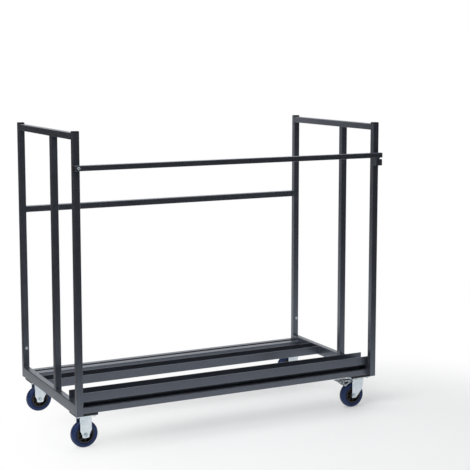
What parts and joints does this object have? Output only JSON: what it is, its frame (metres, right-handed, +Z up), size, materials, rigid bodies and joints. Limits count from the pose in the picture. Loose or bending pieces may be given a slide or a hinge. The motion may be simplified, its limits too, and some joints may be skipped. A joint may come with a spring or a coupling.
{
  "type": "stacking chair trolley",
  "caption": "Stacking chair trolley: welded square-tube frame with channels for the chair legs, a pivoting retaining bar, and fixed and braked swivel castors.",
  "frame": {"origin": "centre of the overall box on the floor under the wheels", "axes": "+X along the trolley's length towards the swivel castors, the loading side with the bar faces -Y, +Z up"},
  "size_m": [1.58, 0.8328, 1.429],
  "materials": {
    "frame_coat": "anthracite semi-gloss powder coat",
    "plate_coat": "matt black coat",
    "zinc_steel": "bright zinc plated",
    "cap_plastic": "black moulded",
    "wheel_plastic": "black moulded",
    "tyre_rubber": "navy blue elastic rubber",
    "bearing_bronze": "sintered bronze"
  },
  "bodies": {
    "frame": {"side_rail_left": "frame_coat", "side_rail_right": "frame_coat", "front_post_left": "frame_coat", "front_post_right": "frame_coat", "mid_post_left": "frame_coat", "mid_post_right": "frame_coat", "rear_post_left": "frame_coat", "rear_post_right": "frame_coat", "top_rail_left": "frame_coat", "top_rail_right": "frame_coat", "front_base_rail": "frame_coat", "rear_base_rail": "frame_coat", "front_cross_beam": "frame_coat", "rear_cross_beam": "frame_coat", "front_leg_channel": "frame_coat", "rear_leg_channel": "frame_coat", "rear_bar": "frame_coat", "post_caps": "cap_plastic", "rear_post_bolts": "zinc_steel", "rear_post_rivet_nuts": "zinc_steel", "castor_mount_plates": "plate_coat", "castor_plate_bolts": "zinc_steel", "bar_catch": "frame_coat", "bar_pivot_bolt": "zinc_steel", "bar_pivot_washer": "zinc_steel", "bar_pivot_nut": "zinc_steel", "front_left_fork": "zinc_steel", "rear_left_fork": "zinc_steel", "fixed_axle_bolts": "zinc_steel", "fixed_axle_nuts": "zinc_steel", "fixed_axle_sleeves": "zinc_steel", "swivel_top_plates": "zinc_steel", "swivel_kingpins": "zinc_steel", "swivel_bearings": "zinc_steel"},
    "bar": {"retaining_bar": "frame_coat", "bar_end_plugs": "cap_plastic", "bar_pivot_bush": "bearing_bronze"},
    "front_right_swivel": {"front_right_fork": "zinc_steel", "front_right_axle": "zinc_steel", "front_right_sleeve": "zinc_steel", "front_right_brake_pin": "zinc_steel"},
    "front_right_brake": {"front_right_brake_pedal": "zinc_steel"},
    "rear_right_swivel": {"rear_right_fork": "zinc_steel", "rear_right_axle": "zinc_steel", "rear_right_sleeve": "zinc_steel", "rear_right_brake_pin": "zinc_steel"},
    "rear_right_brake": {"rear_right_brake_pedal": "zinc_steel"},
    "front_left_wheel": {"front_left_tyre": "tyre_rubber", "front_left_core": "wheel_plastic", "front_left_bearing": "bearing_bronze"},
    "rear_left_wheel": {"rear_left_tyre": "tyre_rubber", "rear_left_core": "wheel_plastic", "rear_left_bearing": "bearing_bronze"},
    "front_right_wheel": {"front_right_tyre": "tyre_rubber", "front_right_core": "wheel_plastic", "front_right_bearing": "bearing_bronze"},
    "rear_right_wheel": {"rear_right_tyre": "tyre_rubber", "rear_right_core": "wheel_plastic", "rear_right_bearing": "bearing_bronze"}
  },
  "joints": [
    {"name": "bar_lift", "type": "hinge", "parent": "frame", "child": "bar", "pos_m": [-0.77, -0.39885, 1.27], "axis": [0, -1, 0], "range_deg": [0, 90]},
    {"name": "front_right_swivel_turn", "type": "hinge", "parent": "frame", "child": "front_right_swivel", "pos_m": [0.727, -0.30655, 0.1395], "axis": [0, 0, 1], "continuous": true},
    {"name": "front_right_brake_press", "type": "hinge", "parent": "front_right_swivel", "child": "front_right_brake", "pos_m": [0.689, -0.30655, 0.1325], "axis": [0, -1, 0], "range_deg": [0, 7.3]},
    {"name": "rear_right_swivel_turn", "type": "hinge", "parent": "frame", "child": "rear_right_swivel", "pos_m": [0.727, 0.33945, 0.1395], "axis": [0, 0, 1], "continuous": true},
    {"name": "rear_right_brake_press", "type": "hinge", "parent": "rear_right_swivel", "child": "rear_right_brake", "pos_m": [0.689, 0.33945, 0.1325], "axis": [0, -1, 0], "range_deg": [0, 7.3]},
    {"name": "front_left_wheel_spin", "type": "hinge", "parent": "frame", "child": "front_left_wheel", "pos_m": [-0.727, -0.30655, 0.0625], "axis": [0, 1, 0], "continuous": true},
    {"name": "rear_left_wheel_spin", "type": "hinge", "parent": "frame", "child": "rear_left_wheel", "pos_m": [-0.727, 0.33945, 0.0625], "axis": [0, 1, 0], "continuous": true},
    {"name": "front_right_wheel_spin", "type": "hinge", "parent": "front_right_swivel", "child": "front_right_wheel", "pos_m": [0.693, -0.30655, 0.0625], "axis": [0, 1, 0], "continuous": true},
    {"name": "rear_right_wheel_spin", "type": "hinge", "parent": "rear_right_swivel", "child": "rear_right_wheel", "pos_m": [0.693, 0.33945, 0.0625], "axis": [0, 1, 0], "continuous": true}
  ]
}
